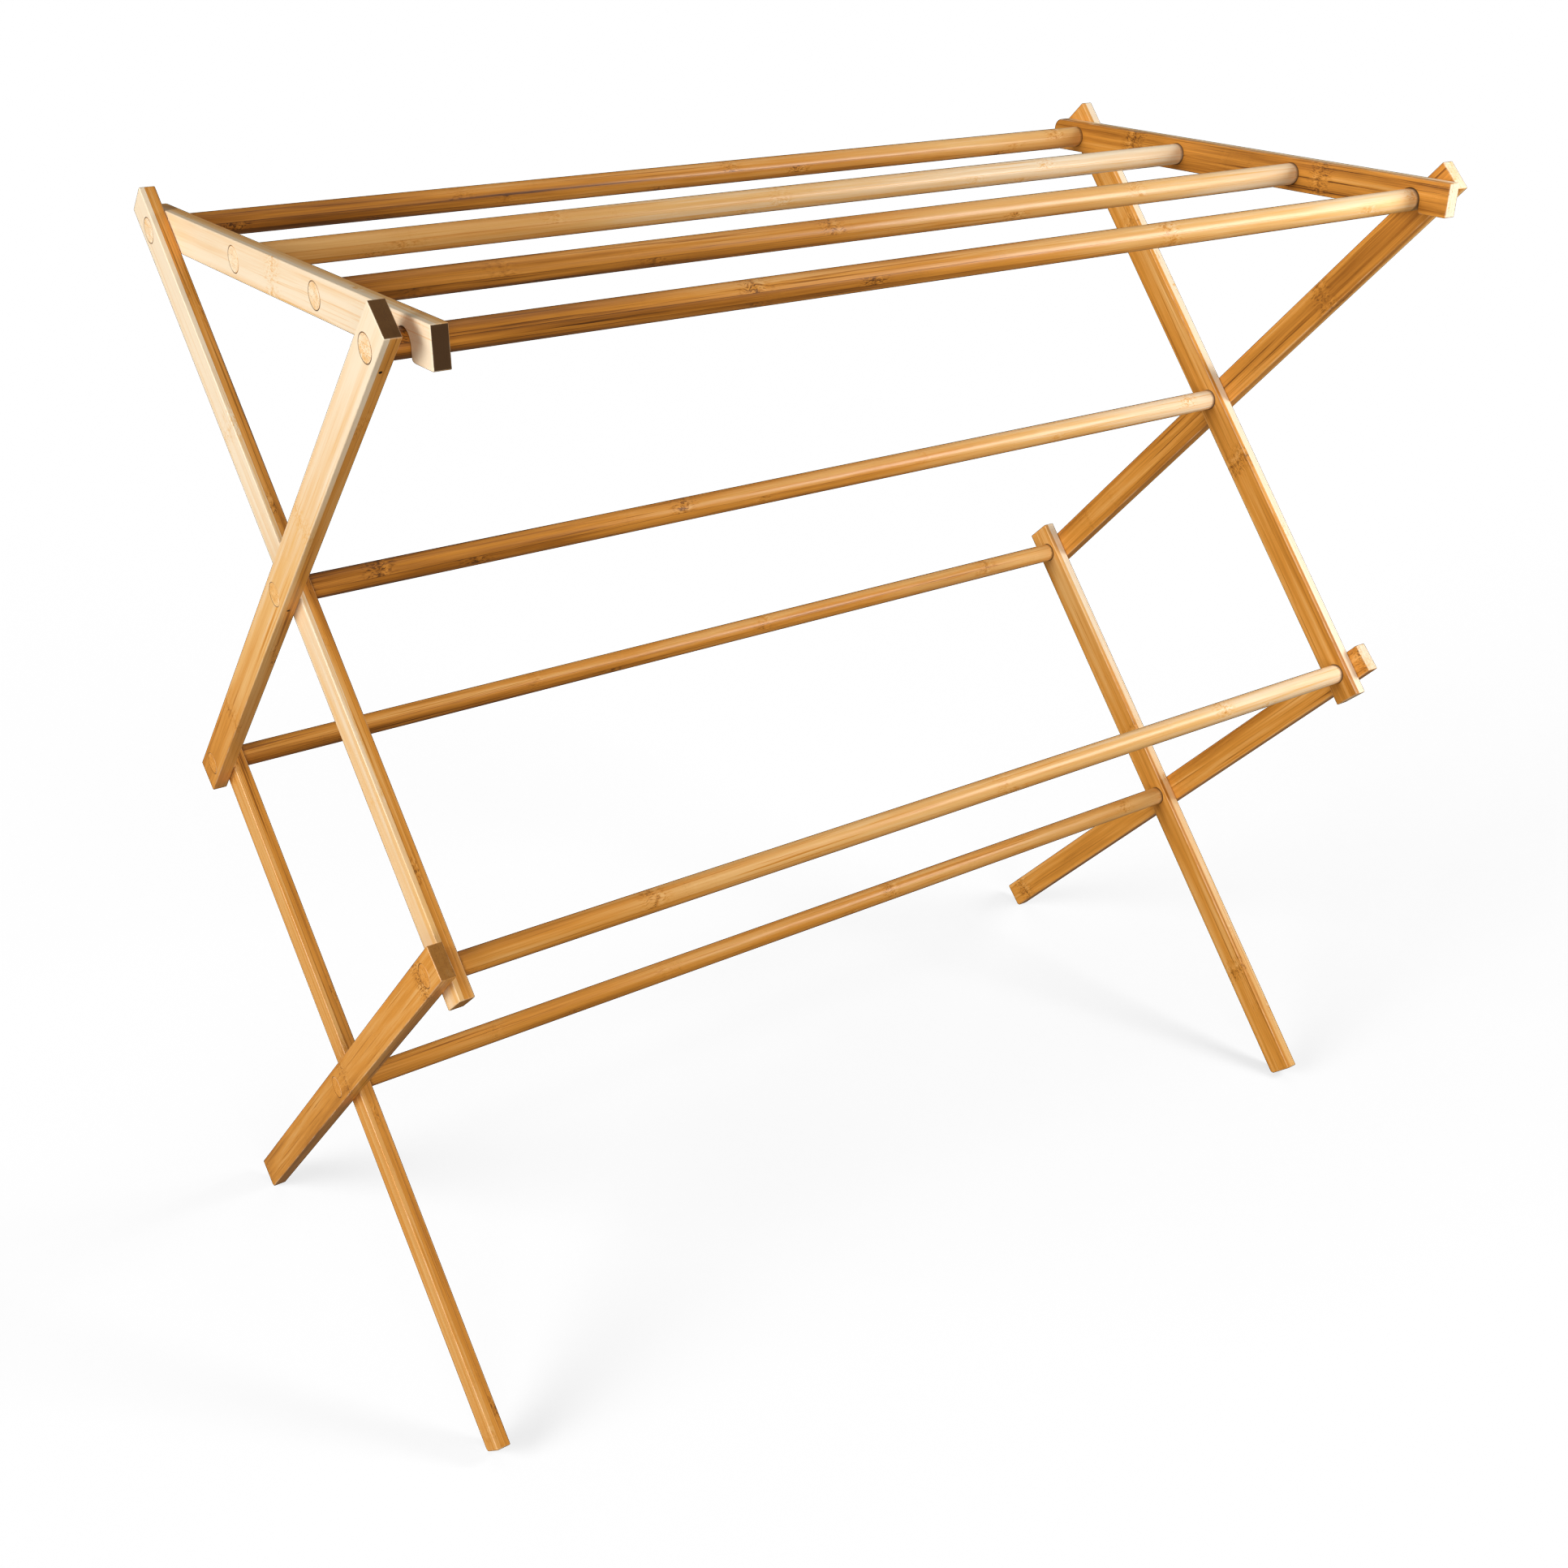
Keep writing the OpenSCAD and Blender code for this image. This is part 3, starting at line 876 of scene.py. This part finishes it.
class RACK_OT_rails(bpy.types.Operator):
    """Two shelf rails, rounded at the back and hooked near the front"""

    bl_idname = "rack.rails"
    bl_label = "Shelf rails"

    def execute(self, context):
        shape = context.scene.rack_shape
        material = bamboo("bamboo_rail")
        turn = shelf_turn()
        low, high = span("right_shelf_rail", turn)
        rail = block("right_shelf_rail" + WOOD, low, high)

        def back_corner(a, b):
            ends = all(abs(p.y - high.y) < SNAP for p in (a, b))
            return ends and abs(a.z - b.z) < SNAP and abs(a.x - b.x) > SNAP

        round_edges(rail, back_corner, shape.back_round, BACK_STEPS)
        catch = turn.inverted() @ centre_of("shelf_catch_rung")
        radius = radius_of("shelf_catch_rung") + shape.hook_play
        self.cut_hook(rail, catch, radius, low, high)
        self.round_lips(rail, catch, radius, low)
        self.round_outside(rail)
        for centre, hole in rungs_in(low, high, turn):
            if (centre - catch).length > radius:
                drill(rail, centre, hole + shape.hole_play, shape.rim_round, low, high)
        smooth(rail)
        rail.matrix_world = turn
        settle(rail)
        left_low, _ = span("left_shelf_rail", turn)
        other = twin(rail, "left_shelf_rail" + WOOD, Vector((left_low.x - low.x, 0, 0)))
        for name, piece in {"right_shelf_rail": rail, "left_shelf_rail": other}.items():
            bar = span(name, turn)
            middle = (bar[0] + bar[1]) / 2
            to_grain = RAIL_ORDER @ Matrix.Translation(-middle) @ turn.inverted()
            mark_grain(piece, name, to_grain, *bar, turn)
            dress(piece, name, "shelf", material)
        return {"FINISHED"}

    def cut_hook(self, rail, catch, radius, low, high):
        """The round seat of the catch rung and the slanted way out of it."""
        shape = bpy.context.scene.rack_shape
        wide = 2 * (high.x - low.x)
        at = Vector(((low.x + high.x) / 2, catch.y, catch.z))
        cut(rail, round_bar("seat", at, radius, wide, "X"))
        deep = at.z - low.z + shape.lip_round
        way_low = Vector((at.x - wide / 2, at.y - radius, at.z - deep))
        way_high = Vector((at.x + wide / 2, at.y + radius, at.z))
        way = block("way_out", way_low, way_high)
        pick_edges(way, lambda a, b: all(
            abs(p.y - way_high.y) < SNAP and abs(p.z - way_low.z) < SNAP for p in (a, b)))
        bpy.ops.transform.translate(value=(0, deep * shape.hook_slant, 0))
        bpy.ops.object.mode_set(mode="OBJECT")
        cut(rail, way)

    def round_lips(self, rail, catch, radius, low):
        """Eases the two lips so that the rung slides in."""
        shape = bpy.context.scene.rack_shape
        back_lip = catch.y + radius + (catch.z - low.z) * shape.hook_slant

        def lip(a, b):
            if abs(a.x - b.x) < SNAP:
                return False
            return all(
                abs(p.z - low.z) < SNAP
                and min(abs(p.y - catch.y + radius), abs(p.y - back_lip)) < SNAP
                for p in (a, b))

        round_edges(rail, lip, shape.lip_round, LIP_STEPS)

    def round_outside(self, rail):
        """Rounds every edge that is still sharp."""
        shape = bpy.context.scene.rack_shape
        only(rail)
        modifier = rail.modifiers.new("round", "BEVEL")
        modifier.width = shape.edge_round
        modifier.segments = EDGE_STEPS
        modifier.limit_method = "ANGLE"
        modifier.angle_limit = SHARP_ANGLE
        bpy.ops.object.modifier_apply(modifier=modifier.name)


class RACK_OT_rungs(bpy.types.Operator):
    """Eight round rungs with eased ends"""

    bl_idname = "rack.rungs"
    bl_label = "Rungs"

    def execute(self, context):
        shape = context.scene.rack_shape
        material = bamboo("bamboo_rung")
        made = {}
        for name, body in nodes_with("rung"):
            low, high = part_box(name)
            centre, length = centre_of(name), high.x - low.x
            like = next((size for size in made if abs(size - length) < SNAP), None)
            if like is None:
                rung = round_bar(name + WOOD, centre, radius_of(name), length, "X")
                round_edges(
                    rung, lambda a, b: abs(a.x - b.x) < SNAP, shape.rung_round, EDGE_STEPS)
                smooth(rung)
                made[length] = (rung, centre)
            else:
                first, first_centre = made[like]
                rung = twin(first, name + WOOD, centre - first_centre)
            twist = random.Random(name).uniform(-RUNG_TWIST, RUNG_TWIST)
            turn = Matrix.Rotation(twist, 4, "Z")
            to_grain = turn @ RUNG_ORDER @ Matrix.Translation(-centre)
            mark_grain(rung, name, to_grain, low, high, Matrix.Identity(4))
            self.wear_ends(rung, low, high)
            self.mark_entry(rung, centre)
            dress(rung, name, body, material)
        return {"FINISHED"}

    def wear_ends(self, rung, low, high):
        """A round rung has worn edges, with their painted highlight, only at its ends, and nothing drilled."""
        ends = bpy.context.scene.rack_shape.rung_round - SNAP
        marks = rung.data.attributes
        for index, vertex in enumerate(rung.data.vertices):
            near = min(vertex.co.x - low.x, high.x - vertex.co.x)
            marks["worn"].data[index].value = 1.0 if SNAP < near < ends else 0.0
            marks["drilled"].data[index].value = 0.0

    def mark_entry(self, rung, centre):
        """Stores how far from its middle a rung enters the innermost bars that hold it."""
        entries = []
        for bar, _ in nodes_with("leg") + nodes_with("rail"):
            low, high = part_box(bar)
            if low.y < centre.y < high.y and low.z < centre.z < high.z:
                entries.append(min(abs(low.x), abs(high.x)))
        store(rung.data, "entry", [min(entries)] * len(rung.data.vertices))


class RACK_OT_nails(bpy.types.Operator):
    """Gives the nails their steel"""

    bl_idname = "rack.nails"
    bl_label = "Nails"

    def execute(self, context):
        material = nail_steel()
        for node, _ in nodes_with("nails"):
            mesh = frame["nodes"][node].data
            mesh.materials.clear()
            mesh.materials.append(material)
        return {"FINISHED"}


# ---------------------------------------------------------------- studio


CAMERA_PLACE = Vector((-0.9274, -1.2251, 1.1624))
CAMERA_TURN = (math.radians(-35.774), math.radians(60.200), math.radians(0.935))
CAMERA_SHIFT = (0.0045, 0.0632)


# where each soft light stands, the point that it faces and its side
LIGHTS = {
    "left": (Vector((-6.0, 0.3, 2.7)), Vector((0, 0, 0.6)), 3.6),
    "right": (Vector((0.95, -0.90, 1.15)), Vector((0.4, 0, 0.65)), 0.5),
    "front": (Vector((-1.5, -3.2, 0.4)), Vector((0, 0, 0.5)), 1.8),
    "top": (Vector((0.8, 0.1, 2.2)), Vector((0.3, 0, 0.5)), 1.6),
}
LIGHT_COLOUR = (1.0, 0.97, 0.93)
SKY_COLOUR = (1.0, 0.86, 0.68, 1.0)
BACKDROP_COLOUR = (1.0, 1.0, 1.0, 1.0)


def soft_light(name, place, target, size, power):
    """A square soft light that faces a point."""
    data = bpy.data.lights.new(name, "AREA")
    data.shape = "SQUARE"
    data.size = size
    data.energy = power
    data.color = LIGHT_COLOUR
    light = bpy.data.objects.new(name, data)
    bpy.context.scene.collection.objects.link(light)
    light.location = place
    light.visible_camera = False
    light.rotation_euler = (target - place).to_track_quat("-Z", "Y").to_euler()


class RACK_OT_stage(bpy.types.Operator):
    """White floor, soft light and the camera"""

    bl_idname = "rack.stage"
    bl_label = "Stage"

    def execute(self, context):
        studio = context.scene.rack_studio
        self.make_floor(studio)
        self.make_sky(studio)
        for side, (place, target, size) in LIGHTS.items():
            soft_light(side + "_light", place, target, size, getattr(studio, side))
        self.make_camera(context, studio)
        context.scene.view_settings.view_transform = "Standard"
        return {"FINISHED"}

    def make_floor(self, studio):
        """A pale floor that shows only shadows. The white behind them is the backdrop."""
        start_clean()
        bpy.ops.mesh.primitive_plane_add(size=2 * studio.floor_half)
        floor = bpy.context.object
        floor.name = "floor"
        material = bpy.data.materials.new("floor")
        n = Nodes(material)
        n.put(n.shader.inputs["Base Color"], rgba(studio.floor))
        n.shader.inputs["Roughness"].default_value = 0.9
        n.shader.inputs["Specular IOR Level"].default_value = 0.0
        n.shader.inputs["Emission Color"].default_value = rgba(studio.floor)
        n.shader.inputs["Emission Strength"].default_value = studio.glow
        floor.data.materials.append(material)
        # the floor lights nothing, so that the shaded sides of the bars stay deep
        floor.visible_diffuse = False
        floor.visible_glossy = False
        floor.is_shadow_catcher = True

    def make_sky(self, studio):
        """Soft light from all round, and a white backdrop that only the camera sees."""
        world = bpy.context.scene.world or bpy.data.worlds.new("studio")
        bpy.context.scene.world = world
        world.use_nodes = True
        tree = world.node_tree
        sky = tree.nodes["Background"]
        sky.inputs["Strength"].default_value = studio.sky
        backdrop = tree.nodes.new("ShaderNodeBackground")
        backdrop.inputs["Strength"].default_value = 1.0
        sky.inputs["Color"].default_value = SKY_COLOUR
        backdrop.inputs["Color"].default_value = BACKDROP_COLOUR
        seen = tree.nodes.new("ShaderNodeLightPath").outputs["Is Camera Ray"]
        mix = tree.nodes.new("ShaderNodeMixShader")
        tree.links.new(seen, mix.inputs[0])
        tree.links.new(sky.outputs[0], mix.inputs[1])
        tree.links.new(backdrop.outputs[0], mix.inputs[2])
        tree.links.new(mix.outputs[0], tree.nodes["World Output"].inputs["Surface"])

    def make_camera(self, context, studio):
        data = bpy.data.cameras.new("camera")
        data.lens = studio.lens
        data.shift_x, data.shift_y = CAMERA_SHIFT
        camera = bpy.data.objects.new("camera", data)
        context.scene.collection.objects.link(camera)
        around, tilt, roll = CAMERA_TURN
        camera.matrix_world = (
            Matrix.Translation(CAMERA_PLACE) @ Matrix.Rotation(around, 4, "Z")
            @ Matrix.Rotation(tilt, 4, "X") @ Matrix.Rotation(roll, 4, "Z"))
        context.scene.camera = camera


class RACK_PT_panel(bpy.types.Panel):
    """The rack's pieces in the sidebar"""

    bl_label = "Drying rack"
    bl_idname = "RACK_PT_panel"
    bl_space_type = "VIEW_3D"
    bl_region_type = "UI"
    bl_category = "Drying rack"

    def draw(self, context):
        for name, group in GROUPS.items():
            box = self.layout.box()
            box.label(text=group.__doc__)
            for key in group.__annotations__:
                box.prop(getattr(context.scene, name), key)
        for operator in OPERATORS:
            self.layout.operator(operator.bl_idname)


OPERATORS = (RACK_OT_legs, RACK_OT_rails, RACK_OT_rungs, RACK_OT_nails, RACK_OT_stage)


def register():
    for group in GROUPS.values():
        bpy.utils.register_class(group)
    for name, group in GROUPS.items():
        setattr(bpy.types.Scene, name, PointerProperty(type=group))
    for operator in OPERATORS:
        bpy.utils.register_class(operator)
    bpy.utils.register_class(RACK_PT_panel)


def unregister():
    bpy.utils.unregister_class(RACK_PT_panel)
    for operator in reversed(OPERATORS):
        bpy.utils.unregister_class(operator)
    for name, group in GROUPS.items():
        delattr(bpy.types.Scene, name)
        bpy.utils.unregister_class(group)


def main():
    """Builds the rack and its studio."""
    register()
    bpy.ops.rack.legs()
    bpy.ops.rack.rails()
    bpy.ops.rack.rungs()
    bpy.ops.rack.nails()
    bpy.ops.rack.stage()
    start_clean()


if __name__ == "__main__":
    main()
